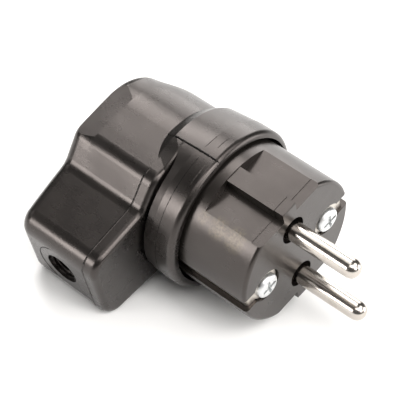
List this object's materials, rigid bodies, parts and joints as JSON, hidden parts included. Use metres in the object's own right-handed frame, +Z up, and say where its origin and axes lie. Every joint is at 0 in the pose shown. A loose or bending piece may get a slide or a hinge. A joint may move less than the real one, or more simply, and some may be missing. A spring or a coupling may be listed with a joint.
{
  "type": "angled rubber plug",
  "caption": "Right-angled mains plug: round contact insert with bright pins and side earth contacts in a black rubber hood that turns sideways into a cable outlet.",
  "frame": {"origin": "centre of the contact face of the insert, midway between the pins", "axes": "+X out of the contact face along the pins; +Z up as the plug lies on its collar and the lower edge of its cable block; the cable leaves towards -Y, sloping down"},
  "size_m": [0.075, 0.0573, 0.0417],
  "materials": {
    "hood_rubber": "semi-matt moulded rubber",
    "insert_plastic": "semi-matt moulded",
    "base_plastic": "matt moulded",
    "nickel_plate": "bright nickel plate",
    "nickel_strip": "nickel plated strip",
    "zinc_steel": "zinc plated",
    "brass": "turned brass"
  },
  "bodies": {
    "root": {"rubber_hood": "hood_rubber", "contact_insert": "insert_plastic", "insert_base": "base_plastic", "live_pin": "nickel_plate", "neutral_pin": "nickel_plate", "live_terminal_screw": "zinc_steel", "neutral_terminal_screw": "zinc_steel", "earth_terminal_screw": "zinc_steel", "earth_contact_cable_side": "nickel_strip", "earth_contact_far_side": "nickel_strip", "earth_bridge": "brass", "earth_terminal": "brass", "face_screw_cable_side": "zinc_steel", "face_screw_far_side": "zinc_steel", "face_bush_cable_side": "brass", "face_bush_far_side": "brass", "grip_saddle": "base_plastic", "grip_screw_live_side": "zinc_steel", "grip_screw_neutral_side": "zinc_steel", "grip_bush_live_side": "brass", "grip_bush_neutral_side": "brass"}
  },
  "joints": []
}
